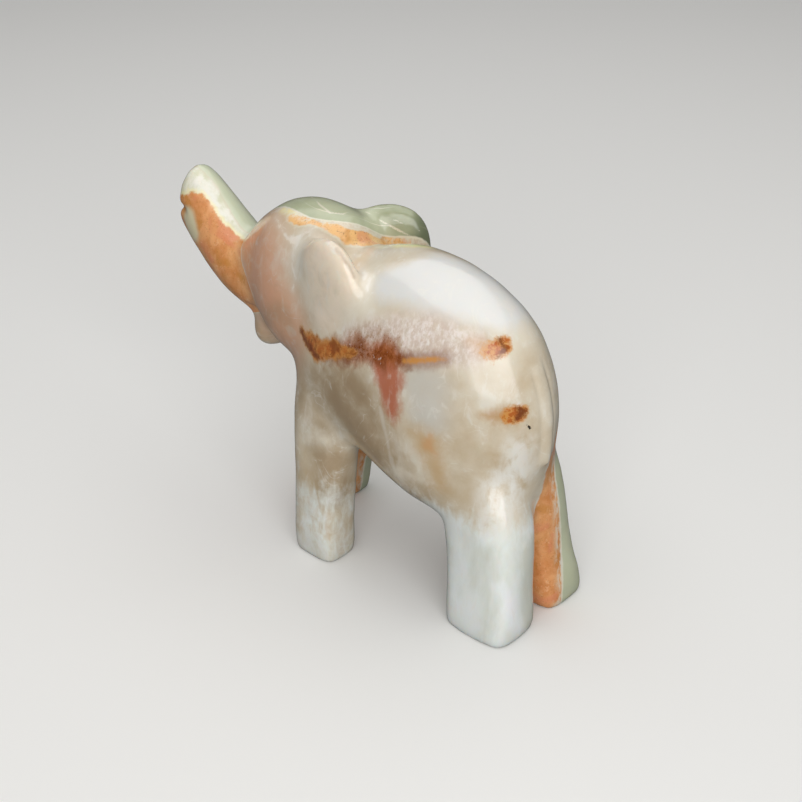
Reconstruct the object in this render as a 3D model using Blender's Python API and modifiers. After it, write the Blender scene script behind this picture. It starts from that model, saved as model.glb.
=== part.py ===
"""Carved stone elephant with a raised trunk, about five inches long.

The figure faces -Y and stands on the ground plane. Its own left side is at +X. The real carving is one
block of banded stone. Here each carved member is a solid of its own, and neighbours meet along the carved
creases with a hair-line seam.
"""

import math

import bmesh
import bpy
from mathutils import Vector

# Driving dimensions, in metres. Distances "ahead" are counted forwards from the hind heels.

SEAM = 0.0003  # clearance between two members that meet

# Torso
TORSO_LENGTH = 0.074
TORSO_WIDTH = 0.039
TORSO_DEPTH = 0.0625
BELLY_HEIGHT = 0.0247
RUMP_INSIDE_HEELS = 0.0030
TORSO_SQUARENESS = 2.15

# Head
HEAD_LENGTH = 0.043
HEAD_DEPTH = 0.0445
CHEEK_INSIDE_FLANK = 0.0055  # how far each cheek lies inside the torso's flank
CROWN_ABOVE_BACK = 0.0025
NECK_OVERLAP = 0.018  # how far the head's form runs back into the torso
HEAD_SQUARENESS = 2.4

# Trunk
TRUNK_REACH = 0.0248
TRUNK_RISE = 0.0185
TRUNK_THICKNESS = 0.0165
TRUNK_MOUTH_HEIGHT = 0.0204
TRUNK_MOUTH_WIDTH = 0.0125
TRUNK_ROOT_SUNK = 0.0050
TRUNK_ROOT_ABOVE_JAW = 0.0155

# Lower lip
LIP_LENGTH = 0.0105
LIP_WIDTH = 0.0150
LIP_DROP = 0.0008
LIP_BEHIND_FACE = 0.0108
LIP_SUNK = 0.0102

# Ears
LEFT_EAR_HEIGHT = 0.0274
RIGHT_EAR_HEIGHT = 0.0252
LEFT_EAR_LENGTH = 0.0240
RIGHT_EAR_LENGTH = 0.0220
EAR_THICKNESS = 0.0065
EAR_BELOW_CROWN = 0.0136
EAR_BEHIND_NECK = 0.0003
LEFT_EAR_SUNK = 0.0009  # the left ear is ground back further than the right one
LEFT_EAR_FLARE = math.radians(8)
LEFT_EAR_LEAN = math.radians(-11)
RIGHT_EAR_FLARE = math.radians(28)  # the right ear stands out further from the neck
RIGHT_EAR_LEAN = math.radians(-9)
RIGHT_EAR_AHEAD_OF_LEFT = 0.0052
RIGHT_EAR_BELOW_LEFT = 0.0011
EAR_SQUARENESS = 2.6
LEFT_EAR_TOP_SPREAD = -0.16  # how much longer the ear is along its top than through its middle
RIGHT_EAR_TOP_SPREAD = 0.10

# Legs
HIND_FOOT_LENGTH = 0.0195
HIND_FOOT_INSET = 0.0015
HIND_FEET_GAP = 0.0040
THIGH_INWARD = 0.0042  # from over the foot to under the hip
THIGH_AHEAD = 0.0075
FRONT_FOOT_LENGTH = 0.0145
FRONT_FOOT_WIDTH = 0.0115
FRONT_FOOT_OUTSIDE = 0.0010  # the front feet stand this far outside the flanks
FRONT_HEEL_BEHIND_CHEST = 0.0232
SHOULDER_INWARD = 0.0030  # from over the foot to the shoulder
SHOULDER_AHEAD = 0.0004
STEP_FORWARD = 0.0170  # the right front foot is a step ahead
STEP_INWARD = 0.0055
FOOT_SQUARENESS = 4.2
THIGH_SQUARENESS = 2.3
LEFT_HEEL_FULLER = 0.0030  # the left hind leg is fuller above the heel than the right one
HOCK_SHARE = 0.52  # where it is fullest, as a share of the leg's height
LEG_SUNK = 0.0180  # how far a leg's form runs up into the torso

# Tail
TAIL_WIDTH = 0.0036
TAIL_PROUD = 0.0014
TAIL_LENGTH = 0.0300
TAIL_ROOT_BELOW_BACK = 0.0135
TAIL_ROOT_AHEAD = 0.0068  # the root follows the rump's curve forwards

# Places that follow from the sizes above
RUMP = RUMP_INSIDE_HEELS
CHEST = RUMP + TORSO_LENGTH
BACK_HEIGHT = BELLY_HEIGHT + TORSO_DEPTH
NECK = CHEST - NECK_OVERLAP
FACE = NECK + HEAD_LENGTH
CROWN_HEIGHT = BACK_HEIGHT + CROWN_ABOVE_BACK
JAW_HEIGHT = CROWN_HEIGHT - HEAD_DEPTH
HEAD_WIDTH = TORSO_WIDTH - 2 * CHEEK_INSIDE_FLANK
HIND_FOOT_WIDTH = TORSO_WIDTH / 2 - HIND_FOOT_INSET - HIND_FEET_GAP / 2

LEFTWARD = Vector((1, 0, 0))
BACKWARD = Vector((0, 1, 0))
UPWARD = Vector((0, 0, 1))
LEFT = 1
RIGHT = -1


def clear_scene():
    for obj in list(bpy.data.objects):
        bpy.data.objects.remove(obj)


def new_collection(name):
    made = bpy.data.collections.new(name)
    bpy.context.scene.collection.children.link(made)
    return made


def polished_stone(name, colour, roughness):
    made = bpy.data.materials.new(name)
    made.use_nodes = True
    shader = made.node_tree.nodes["Principled BSDF"]
    shader.inputs["Base Color"].default_value = (*colour, 1)
    shader.inputs["Roughness"].default_value = roughness
    shader.inputs["Metallic"].default_value = 0.0
    return made


def place(aside, ahead, height):
    return Vector((aside, -ahead, height))


class Section:
    """One closed curve of a loft: an ellipse at squareness 2, boxier above that."""

    def __init__(self, centre, across, along, half_across, half_along, squareness=2.0):
        self.centre = centre
        self.across = across
        self.along = along
        self.half_across = half_across
        self.half_along = half_along
        self.squareness = squareness
        self.low_squareness = squareness
        self.narrow_top = 0.0

    def points(self, sides):
        # Subdivision pulls a ring inwards by a known share, which is given back here.
        swell = 4 / (3 + math.cos(2 * math.pi / sides))
        for step in range(sides):
            angle = 2 * math.pi * step / sides
            power = 2 / (self.squareness if math.sin(angle) > 0 else self.low_squareness)
            a = math.copysign(abs(math.cos(angle)) ** power, math.cos(angle))
            b = math.copysign(abs(math.sin(angle)) ** power, math.sin(angle))
            width = self.half_across * (1 - self.narrow_top * b)
            yield self.centre + swell * (self.across * width * a + self.along * self.half_along * b)


def loft(name, sections, sides, flat_start=False):
    """A closed form through unlike sections, smoothed by subdivision; flat_start keeps its first end flat."""
    mesh = bmesh.new()
    loops = [[mesh.verts.new(p) for p in section.points(sides)] for section in sections]
    for low, high in zip(loops, loops[1:]):
        for here in range(sides):
            there = (here + 1) % sides
            mesh.faces.new((low[here], low[there], high[there], high[here]))
    start = mesh.faces.new(loops[0])
    mesh.faces.new(loops[-1])
    bmesh.ops.recalc_face_normals(mesh, faces=mesh.faces)
    if flat_start:
        crease = mesh.edges.layers.float.new("crease_edge")
        for edge in start.edges:
            edge[crease] = 1.0
    data = bpy.data.meshes.new(name)
    mesh.to_mesh(data)
    mesh.free()
    data.shade_smooth()
    made = bpy.data.objects.new(name, data)
    smooth = made.modifiers.new("smooth", "SUBSURF")
    smooth.levels = 1
    smooth.render_levels = 1
    return made


def upright(ahead, low, high, half_width, squareness):
    """A section standing upright across the figure, between two heights."""
    centre = place(0, ahead, (low + high) / 2)
    half_depth = (high - low) / 2
    return Section(centre, LEFTWARD, UPWARD, half_width, half_depth, squareness)


def torso_form():
    """Rump, barrel and chest, from the rump forwards."""
    # Share of the length, rise of the belly and drop of the back as shares of the depth, share of the
    # half width, how much narrower the section is on top than below, and the squareness of its lower half.
    stations = (
        (0.000, 0.330, 0.420, 0.20, 0.00, 2.2),
        (0.030, 0.160, 0.305, 0.42, 0.00, 2.3),
        (0.085, 0.050, 0.195, 0.64, 0.02, 2.5),
        (0.160, 0.010, 0.110, 0.80, 0.04, 3.0),
        (0.270, -0.010, 0.040, 0.92, 0.06, 3.4),
        (0.420, 0.035, 0.000, 1.00, 0.08, 3.4),
        (0.580, 0.115, 0.000, 0.99, 0.12, 3.0),
        (0.740, 0.165, 0.060, 0.92, 0.20, 2.5),
        (0.890, 0.210, 0.180, 0.78, 0.24, 2.3),
        (1.000, 0.320, 0.300, 0.50, 0.24, 2.2),
    )
    sections = []
    for share, rise, drop, width, narrow, low_square in stations:
        ahead = RUMP + share * TORSO_LENGTH
        low = BELLY_HEIGHT + rise * TORSO_DEPTH
        high = BACK_HEIGHT - drop * TORSO_DEPTH
        section = upright(ahead, low, high, width * TORSO_WIDTH / 2, TORSO_SQUARENESS)
        section.narrow_top = narrow
        section.low_squareness = low_square
        sections.append(section)
    return loft("torso", sections, 16)


def head_form():
    """Skull and face, from inside the neck to the root of the trunk."""
    # Share of the length, rise of the jaw and drop of the crown as shares of the depth, share of the half
    # width, and how much narrower the section is on top than below.
    stations = (
        (0.00, 0.16, 0.06, 0.80, 0.04),
        (0.20, 0.06, 0.02, 0.97, 0.02),
        (0.42, 0.00, 0.00, 1.00, 0.02),
        (0.60, 0.06, 0.05, 0.88, 0.04),
        (0.76, 0.22, 0.17, 0.62, 0.04),
        (0.90, 0.33, 0.33, 0.46, 0.02),
        (1.00, 0.40, 0.48, 0.34, 0.00),
    )
    sections = []
    for share, rise, drop, width, narrow in stations:
        ahead = NECK + share * HEAD_LENGTH
        low = JAW_HEIGHT + rise * HEAD_DEPTH
        high = CROWN_HEIGHT - drop * HEAD_DEPTH
        section = upright(ahead, low, high, width * HEAD_WIDTH / 2, HEAD_SQUARENESS)
        section.narrow_top = narrow
        sections.append(section)
    return loft("head", sections, 14)


def trunk_form():
    """Raised trunk: sections square to a bent axis, opening into a tall mouth."""
    # Share of the reach and of the rise, share of the way from the trunk's thickness to the mouth's size,
    # the lean of the section in degrees, and how much stouter it is towards the root.
    stations = (
        (-0.38, -0.10, 0.00, 30, 0.98),
        (-0.10, -0.03, 0.00, 32, 1.03),
        (0.15, 0.14, 0.00, 34, 1.08),
        (0.40, 0.39, 0.05, 34, 1.05),
        (0.66, 0.67, 0.20, 32, 1.00),
        (0.86, 0.90, 0.76, 18, 1.00),
        (1.00, 1.00, 0.98, 6, 1.00),
    )
    root = FACE - TRUNK_ROOT_SUNK
    sections = []
    root_height = JAW_HEIGHT + TRUNK_ROOT_ABOVE_JAW
    for share, climb, open_share, lean, stout in stations:
        centre = place(0, root + share * TRUNK_REACH, root_height + climb * TRUNK_RISE)
        turn = math.radians(lean)
        along = UPWARD * math.cos(turn) + BACKWARD * math.sin(turn)
        width = TRUNK_THICKNESS + open_share * (TRUNK_MOUTH_WIDTH - TRUNK_THICKNESS)
        height = TRUNK_THICKNESS + open_share * (TRUNK_MOUTH_HEIGHT - TRUNK_THICKNESS)
        sections.append(Section(centre, LEFTWARD, along, stout * width / 2, stout * height / 2))
    return loft("trunk", sections, 12)


def lip_form():
    """Small lower lip, a rounded knob under the front of the jaw."""
    # Share of the way down, and size of the section as a share of the lip's.
    stations = ((0.0, 0.80), (0.35, 1.0), (0.75, 0.94), (1.0, 0.60))
    top = JAW_HEIGHT + LIP_SUNK
    bottom = JAW_HEIGHT - LIP_DROP
    sections = []
    for share, size in stations:
        centre = place(0, FACE - LIP_BEHIND_FACE, top + share * (bottom - top))
        sections.append(Section(centre, LEFTWARD, BACKWARD, size * LIP_WIDTH / 2, size * LIP_LENGTH / 2))
    return loft("lower_lip", sections, 8)


def ear_form(name, side, length, height, top_spread, flare, lean, further_ahead, further_down, sunk):
    """One ear: an upright lens beside the neck, its free rear edge flared outwards."""
    outward = LEFTWARD * side * math.cos(flare) - BACKWARD * math.sin(flare)
    rearward = BACKWARD * math.cos(flare) + LEFTWARD * side * math.sin(flare)
    upright_axis = UPWARD * math.cos(lean) + rearward * math.sin(lean)
    level_axis = rearward * math.cos(lean) - UPWARD * math.sin(lean)
    ahead = NECK - EAR_BEHIND_NECK + further_ahead
    aside = side * (HEAD_WIDTH / 2 - sunk)
    middle = place(aside, ahead, CROWN_HEIGHT - EAR_BELOW_CROWN - further_down)
    # Share of the thickness from the middle outwards, and size of the section as a share of the ear's.
    stations = ((-0.5, 0.74), (-0.22, 0.97), (0.12, 1.0), (0.5, 0.76))
    sections = []
    for offset, size in stations:
        centre = middle + outward * offset * EAR_THICKNESS
        half_length = size * length / 2
        half_height = size * height / 2
        section = Section(centre, level_axis, upright_axis, half_length, half_height, EAR_SQUARENESS)
        section.narrow_top = -top_spread
        sections.append(section)
    return loft(name, sections, 14)


def left_ear_form():
    length = LEFT_EAR_LENGTH
    height = LEFT_EAR_HEIGHT
    spread = LEFT_EAR_TOP_SPREAD
    flare = LEFT_EAR_FLARE
    lean = LEFT_EAR_LEAN
    return ear_form("left_ear", LEFT, length, height, spread, flare, lean, 0.0, 0.0, LEFT_EAR_SUNK)


def right_ear_form():
    length = RIGHT_EAR_LENGTH
    height = RIGHT_EAR_HEIGHT
    spread = RIGHT_EAR_TOP_SPREAD
    step = RIGHT_EAR_AHEAD_OF_LEFT
    drop = RIGHT_EAR_BELOW_LEFT
    flare = RIGHT_EAR_FLARE
    lean = RIGHT_EAR_LEAN
    return ear_form("right_ear", RIGHT, length, height, spread, flare, lean, step, drop, 0.0)


def leg_form(name, foot_middle, hip_middle, foot_length, foot_width, stations, heel=0.0):
    """One leg: level sections from the flat sole up into the torso.

    A station holds its share of the height, its share of the way from over the foot to under the hip, and
    its length and width as shares of the foot's."""
    height = BELLY_HEIGHT + LEG_SUNK
    sections = []
    for share, way, length, width in stations:
        centre = foot_middle.lerp(hip_middle, way)
        centre.z = share * height
        half_width = width * foot_width / 2
        fuller = heel * max(0.0, 1 - abs(share - HOCK_SHARE) / HOCK_SHARE)
        centre += BACKWARD * fuller / 2
        half_length = (length * foot_length + fuller) / 2
        square = FOOT_SQUARENESS + min(share, 1.0) * (THIGH_SQUARENESS - FOOT_SQUARENESS)
        sections.append(Section(centre, LEFTWARD, BACKWARD, half_width, half_length, square))
    return loft(name, sections, 16, flat_start=True)


def hind_leg_form(name, side, heel):
    aside = side * (TORSO_WIDTH / 2 - HIND_FOOT_INSET - HIND_FOOT_WIDTH / 2)
    foot = place(aside, HIND_FOOT_LENGTH / 2, 0)
    hip = foot + place(-side * THIGH_INWARD, THIGH_AHEAD, 0)
    stations = (
        (0.00, 0.00, 0.95, 0.95),
        (0.06, 0.02, 1.00, 1.00),
        (0.22, 0.14, 0.94, 0.95),
        (0.42, 0.33, 0.92, 0.94),
        (0.60, 0.52, 1.01, 1.00),
        (0.82, 0.78, 1.10, 1.06),
        (1.05, 1.00, 1.08, 1.02),
        (1.22, 1.20, 0.75, 0.70),
    )
    return leg_form(name, foot, hip, HIND_FOOT_LENGTH, HIND_FOOT_WIDTH, stations, heel)


def front_leg_form(name, side, step_forward, step_inward):
    aside = side * (TORSO_WIDTH / 2 + FRONT_FOOT_OUTSIDE - FRONT_FOOT_WIDTH / 2)
    shoulder = place(aside, CHEST - FRONT_HEEL_BEHIND_CHEST + FRONT_FOOT_LENGTH / 2, 0)
    foot = shoulder + place(-side * step_inward, step_forward, 0)
    hip = shoulder + place(-side * SHOULDER_INWARD, SHOULDER_AHEAD, 0)
    stations = (
        (0.00, 0.00, 0.92, 0.92),
        (0.06, 0.00, 1.00, 1.00),
        (0.25, 0.04, 1.00, 1.02),
        (0.50, 0.30, 1.02, 1.05),
        (0.75, 0.75, 1.24, 1.10),
        (1.05, 1.00, 1.48, 1.08),
        (1.32, 1.20, 1.10, 0.70),
    )
    return leg_form(name, foot, hip, FRONT_FOOT_LENGTH, FRONT_FOOT_WIDTH, stations)


def tail_form():
    """A thin ridge in low relief down the middle of the rump."""
    # Share of the way down, share of the root's way forwards, and size as a share of the tail's width.
    stations = ((0.0, 1.0, 0.8), (0.3, 0.14, 1.0), (0.6, 0.0, 0.9), (0.85, 0.0, 0.95), (1.0, 0.0, 0.55))
    top = BACK_HEIGHT - TAIL_ROOT_BELOW_BACK
    sections = []
    for share, ahead, size in stations:
        centre = place(0, RUMP + ahead * TAIL_ROOT_AHEAD, top - share * TAIL_LENGTH)
        sections.append(Section(centre, LEFTWARD, BACKWARD, size * TAIL_WIDTH / 2, TAIL_PROUD))
    return loft("tail", sections, 8)


def swollen_copy(form, collection):
    """The uncut form grown by the seam's width, to cut its smaller neighbours with."""
    cutter = form.copy()
    cutter.name = form.name + "_cutter"
    cutter.hide_render = True
    cutter.display_type = "WIRE"
    swell = cutter.modifiers.new("swell", "DISPLACE")
    swell.mid_level = 0.0
    swell.strength = SEAM
    collection.objects.link(cutter)
    return cutter


def cut(form, cutter):
    seam = form.modifiers.new("seam_to_" + cutter.name, "BOOLEAN")
    seam.operation = "DIFFERENCE"
    seam.solver = "EXACT"
    seam.object = cutter


def centre_over_origin(root, members):
    """Moves the figure so that the middle of its length stands over the origin."""
    bpy.context.view_layer.update()
    graph = bpy.context.evaluated_depsgraph_get()
    ends = [corner[1] for member in members for corner in member.evaluated_get(graph).bound_box]
    sides = [corner[0] for member in members for corner in member.evaluated_get(graph).bound_box]
    root.location.y = -(min(ends) + max(ends)) / 2
    root.location.x = -(min(sides) + max(sides)) / 2


def main():
    clear_scene()
    figure = new_collection("stone_elephant")
    cutters = new_collection("cutters")
    white = polished_stone("white_stone", (0.74, 0.70, 0.63), 0.25)
    rose = polished_stone("rose_stone", (0.66, 0.50, 0.44), 0.25)
    amber = polished_stone("amber_stone", (0.72, 0.37, 0.15), 0.30)
    green = polished_stone("green_stone", (0.56, 0.63, 0.47), 0.20)

    # From the largest to the smallest: each is cut by those before it.
    forms = (
        (torso_form(), white),
        (head_form(), rose),
        (hind_leg_form("left_hind_leg", LEFT, LEFT_HEEL_FULLER), white),
        (hind_leg_form("right_hind_leg", RIGHT, 0.0), amber),
        (front_leg_form("left_front_leg", LEFT, 0.0, 0.0), white),
        (front_leg_form("right_front_leg", RIGHT, STEP_FORWARD, STEP_INWARD), green),
        (left_ear_form(), white),
        (right_ear_form(), green),
        (trunk_form(), amber),
        (lip_form(), rose),
        (tail_form(), white),
    )
    root = bpy.data.objects.new("figure_origin", None)
    figure.objects.link(root)
    before = []
    for form, material in forms:
        figure.objects.link(form)
        form.parent = root
        form.data.materials.append(material)
        cutter = swollen_copy(form, cutters)
        for larger in before:
            cut(form, larger)
        before.append(cutter)
    centre_over_origin(root, [form for form, material in forms])


main()
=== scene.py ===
# %% [markdown]
# # A carved stone elephant, dressed
# The object is a small elephant with a raised trunk, cut from one block of banded stone, rounded by hand
# and waxed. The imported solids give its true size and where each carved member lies. This lesson turns
# them into one continuous polished skin, paints the stone's layers through it, and sets it on a pale
# table under soft light. Everything is in metres in the frame of the solids, so no piece needs fitting
# afterwards.

import bmesh
import bpy
import numpy as np
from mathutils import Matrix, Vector, noise
from mathutils.bvhtree import BVHTree


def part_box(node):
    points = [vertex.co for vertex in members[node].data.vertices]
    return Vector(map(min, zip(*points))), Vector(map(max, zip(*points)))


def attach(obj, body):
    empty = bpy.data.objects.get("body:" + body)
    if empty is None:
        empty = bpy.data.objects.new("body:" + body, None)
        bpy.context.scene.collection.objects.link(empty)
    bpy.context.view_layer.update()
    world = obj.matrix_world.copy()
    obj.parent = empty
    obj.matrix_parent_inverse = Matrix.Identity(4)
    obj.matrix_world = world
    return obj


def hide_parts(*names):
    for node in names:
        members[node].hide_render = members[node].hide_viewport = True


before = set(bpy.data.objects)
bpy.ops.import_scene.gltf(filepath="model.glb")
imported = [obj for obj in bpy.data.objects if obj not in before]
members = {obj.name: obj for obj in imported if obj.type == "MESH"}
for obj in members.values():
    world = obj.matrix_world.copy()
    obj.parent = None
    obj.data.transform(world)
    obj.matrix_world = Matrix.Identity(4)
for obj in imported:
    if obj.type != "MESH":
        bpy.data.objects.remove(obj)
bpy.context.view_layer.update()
MM = 0.001
print("members:", ", ".join(sorted(members)))

# %% [markdown]
# ## The camera
# The photograph looks down on the figure's left hip from about three of its lengths away. A camera could
# be moved by eye until things look right. Here the feet gave it: four soles on one flat table fix where
# the lens was, so the numbers below are a measured place, and the lens follows from how fast the figure
# shrinks with distance.

# %% Place the camera
AIM = Vector((3.47, 16.76, 46.53)) * MM
TOWARDS_CAMERA = Vector((0.6356, 0.5683, 0.5225)).normalized()
CAMERA_DISTANCE = 367.6 * MM
FOCAL_PIXELS = 1500.0
IMAGE_PIXELS = 802.0
SENSOR_WIDTH = 36.0

lens = bpy.data.cameras.new("view_from_the_hip")
lens.sensor_width = SENSOR_WIDTH
lens.lens = SENSOR_WIDTH * FOCAL_PIXELS / IMAGE_PIXELS
camera = bpy.data.objects.new("view_from_the_hip", lens)
camera.location = AIM + TOWARDS_CAMERA * CAMERA_DISTANCE
camera.rotation_euler = (-TOWARDS_CAMERA).to_track_quat("-Z", "Y").to_euler()
bpy.context.scene.collection.objects.link(camera)
bpy.context.scene.camera = camera
print("lens in mm:", round(lens.lens, 1))

# %% [markdown]
# ## One block again
# The solids are divided at the carved creases by a hair-line seam, but the real figure is one block, so
# nothing may show there. The copies of all members are grown until they overlap by a fraction of a
# millimetre, laid into one mesh, and remade by a voxel remesh: it walks over the outside of everything
# like shrink-wrap and forgets what is buried. A Boolean union would keep every coarse facet; the remesh
# gives an even grid of small quads that can be smoothed and sculpted afterwards.

# %% Join the grown members and remesh them
GROWTH = 0.30 * MM
VOXEL = 0.55 * MM
SAME_POINT = 0.001 * MM


def evaluated_copy(piece, name):
    """A plain mesh with the piece's modifiers used up."""
    bpy.context.view_layer.update()
    graph = bpy.context.evaluated_depsgraph_get()
    made = bpy.data.meshes.new_from_object(piece.evaluated_get(graph))
    made.name = name
    return made


clay = bmesh.new()
for name in sorted(members):
    clay.from_mesh(members[name].data)
bmesh.ops.remove_doubles(clay, verts=clay.verts, dist=SAME_POINT)
bmesh.ops.recalc_face_normals(clay, faces=clay.faces)
clay.normal_update()
for corner in clay.verts:
    corner.co += corner.normal * GROWTH
rough_mesh = bpy.data.meshes.new("rough_block")
clay.to_mesh(rough_mesh)
clay.free()

rough_block = bpy.data.objects.new("rough_block", rough_mesh)
bpy.context.scene.collection.objects.link(rough_block)
wrap = rough_block.modifiers.new("wrap", "REMESH")
wrap.mode = "VOXEL"
wrap.voxel_size = VOXEL
skin = evaluated_copy(rough_block, "skin")
bpy.data.objects.remove(rough_block)
print("skin:", len(skin.vertices), "points,", len(skin.polygons), "faces")

# %% [markdown]
# ## Which member is this?
# Later steps need to know, for each point of the skin, which member it belongs to and how near the next
# member is: that tells creases from open flank. Measuring straight to the solids is the simplest way. A
# search tree for each solid answers "how far is the nearest surface?" quickly, and the two smallest
# answers say all.

# %% Measure from the skin to every solid
names = sorted(members)
trees = []
for name in names:
    solid = members[name].data
    corners = [corner.co for corner in solid.vertices]
    trees.append(BVHTree.FromPolygons(corners, [list(face.vertices) for face in solid.polygons]))


def points_of(mesh):
    flat = np.empty(len(mesh.vertices) * 3, np.float32)
    mesh.vertices.foreach_get("co", flat)
    return flat.reshape(-1, 3).astype(float)


def set_points(mesh, points):
    mesh.vertices.foreach_set("co", points.astype(np.float32).ravel())
    mesh.update()


points = points_of(skin)
reach = np.empty((len(points), len(names)))
for column, solid_tree in enumerate(trees):
    reach[:, column] = [solid_tree.find_nearest(point)[3] for point in points]
owner = reach.argmin(axis=1)
for column, name in enumerate(names):
    print(name, int((owner == column).sum()), "points")

# %% [markdown]
# ## Creases that a grinding wheel left
# Where a front leg or the head runs into the body the stone flows over in a wide soft hollow, while the
# right ear, the back of the left ear and the tail keep a crisper line. A bevel can't do that on a
# remeshed skin. Smoothing can: a weight says how much each point may relax, full in the hollows and
# nothing on open stone. A second weight, for a shorter pass over everything, takes the facets of the
# solids away. The left ear's lower end gets a wide hollow of its own.

# %% Say how far each point may relax
HOLLOW_WIDTHS = {
    ("head", "torso"): 9.0,
    ("left_front_leg", "torso"): 7.0,
    ("right_front_leg", "torso"): 7.0,
    ("left_hind_leg", "torso"): 2.4,
    ("right_hind_leg", "torso"): 2.4,
    ("left_hind_leg", "right_hind_leg"): 3.0,
    ("head", "trunk"): 2.5,
    ("head", "lower_lip"): 7.0,
    ("head", "left_ear"): 10.0,
    ("head", "right_ear"): 3.5,
    ("right_ear", "torso"): 3.0,
    ("left_ear", "torso"): 3.2,
    ("tail", "torso"): 0.9,
}
EAR_FOOT_WIDTH = 5.0
EAR_FOOT_TOP = 73.0
EAR_FOOT_FADE = 1.5
OPEN_STONE = {"torso": 1.0, "head": 0.5, "left_ear": 0.8, "trunk": 0.2, "tail": 0.1, "lower_lip": 0.1}
LEG_AND_EAR_STONE = 0.18
FOOT_STONE = 0.06
FOOT_HEIGHT = 9.0


def reach_to(member):
    """How far each point of the skin is from one solid."""
    return reach[:, names.index(member)]


def nearness(gap, width):
    """1 where a gap is closed, falling to 0 over about a width."""
    return np.exp(-((np.clip(gap, 0, None) / width) ** 2))


in_hollow = np.zeros(len(points))
for (first, second), width in HOLLOW_WIDTHS.items():
    both = np.maximum(reach_to(first), reach_to(second)) - GROWTH
    in_hollow = np.maximum(in_hollow, nearness(both, width * MM))
ear_foot = np.maximum(reach_to("left_ear"), reach_to("torso")) - GROWTH
low_down = 1 / (1 + np.exp((points[:, 2] / MM - EAR_FOOT_TOP) / EAR_FOOT_FADE))
in_hollow = np.maximum(in_hollow, low_down * nearness(ear_foot, EAR_FOOT_WIDTH * MM))
on_open = np.array([OPEN_STONE.get(name, LEG_AND_EAR_STONE) for name in names])[owner]
on_open = np.where(points[:, 2] < FOOT_HEIGHT * MM, FOOT_STONE, on_open)
print("points in a hollow:", int((in_hollow > 0.5).sum()), "of", len(points))

# %% [markdown]
# ## Grind
# A Smooth modifier moves every point towards the middle of its neighbours, again and again. Done by hand
# in sculpt mode this is the smooth brush. The modifier does the same stroke on every run, and a vertex
# group is its mask. The left ear hardly stands out on the real figure, so it is eased in by less than a
# millimetre before the grinding.

# %% Relax the hollows, then everything
HOLLOW_ROUNDS = 220
OPEN_ROUNDS = 160
SMOOTH_FACTOR = 0.5
WEIGHT_LEVELS = 20
EAR_SUNK = 0.8
EAR_EDGE = 3.0
SUNK_AT_EDGE = 0.33


def relax(mesh, weights, rounds):
    """The mesh after a Smooth modifier whose strength at each point is its weight."""
    piece = bpy.data.objects.new("relaxing", mesh)
    bpy.context.scene.collection.objects.link(piece)
    piece.vertex_groups.clear()
    group = piece.vertex_groups.new(name="relax")
    for level in range(1, WEIGHT_LEVELS + 1):
        chosen = np.flatnonzero(np.round(weights * WEIGHT_LEVELS) == level)
        group.add(chosen.tolist(), level / WEIGHT_LEVELS, "REPLACE")
    smooth = piece.modifiers.new("smooth", "SMOOTH")
    smooth.factor = SMOOTH_FACTOR
    smooth.iterations = rounds
    smooth.vertex_group = "relax"
    made = evaluated_copy(piece, mesh.name)
    bpy.data.objects.remove(piece)
    return made


from_rest = np.minimum(reach_to("head"), reach_to("torso"))
sunk = np.clip((from_rest - reach_to("left_ear")) / (EAR_EDGE * MM) + SUNK_AT_EDGE, 0, 1)
set_points(skin, points - np.outer(sunk * EAR_SUNK * MM, (1, 0, 0)))

skin = relax(skin, in_hollow, HOLLOW_ROUNDS)
skin = relax(skin, on_open, OPEN_ROUNDS)
moved = np.linalg.norm(points_of(skin) - points, axis=1)
print("moved at most", round(moved.max() / MM, 2), "mm, on average", round(moved.mean() / MM, 2), "mm")

# %% [markdown]
# ## Where the photograph shows a mark
# The bands and stains of a stone can't be guessed: they have to lie where they lie on this one. So each
# is noted by a few pixels of the photograph, and a ray from the camera through the pixel finds the point
# of the skin behind it. From then on the mark is a place in the stone, with a width in millimetres, and it
# stays there from every side.

# %% Cast a pixel onto the stone
PICTURE_MIDDLE = (IMAGE_PIXELS / 2, IMAGE_PIXELS / 2)
FAR_AWAY = 1000.0

bpy.context.view_layer.update()
points = points_of(skin)
skin_tree = BVHTree.FromPolygons(points.tolist(), [list(face.vertices) for face in skin.polygons])


def on_stone(pixel):
    """The point of the skin, in mm, that the photograph shows at a pixel, or the nearest one beside it."""
    across = (pixel[0] - PICTURE_MIDDLE[0]) / FOCAL_PIXELS
    down = (pixel[1] - PICTURE_MIDDLE[1]) / FOCAL_PIXELS
    ray = camera.matrix_world.to_quaternion() @ Vector((across, -down, -1))
    hit = skin_tree.ray_cast(camera.location, ray.normalized())[0]
    if hit is None:
        hit = skin_tree.find_nearest(camera.location + ray * CAMERA_DISTANCE)[0]
    return np.array(hit) / MM


def depth_in_stroke(stroke, mirror=False):
    """How far each point of the skin lies outside a stroke of (pixel, half width in mm); negative inside."""
    best = np.full(len(points), FAR_AWAY)
    places = [(on_stone(pixel) * (-1 if mirror else 1, 1, 1), half) for pixel, half in stroke]
    for (start, start_half), (end, end_half) in zip(places, places[1:]):
        run = end - start
        share = np.clip((points / MM - start) @ run / (run @ run), 0, 1)
        gap = np.linalg.norm(points / MM - start - share[:, None] * run, axis=1)
        best = np.minimum(best, gap - start_half - share * (end_half - start_half))
    return best


print("the hip seen in the middle of the picture:", on_stone(PICTURE_MIDDLE).round(1))

# %% [markdown]
# ## Back to size
# The members were grown before the remesh, and smoothing shrank them again, each by its own amount. So
# the skin is measured against the solids on calm stone away from the creases, and every point is pushed
# along its normal by what its member lost or gained. Scaling would be simpler, but it would move the
# creases and the feet.

# %% Measure how far each member has to settle
CALM_SHARE = 0.2
SETTLE_BLEND = 2.0


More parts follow.
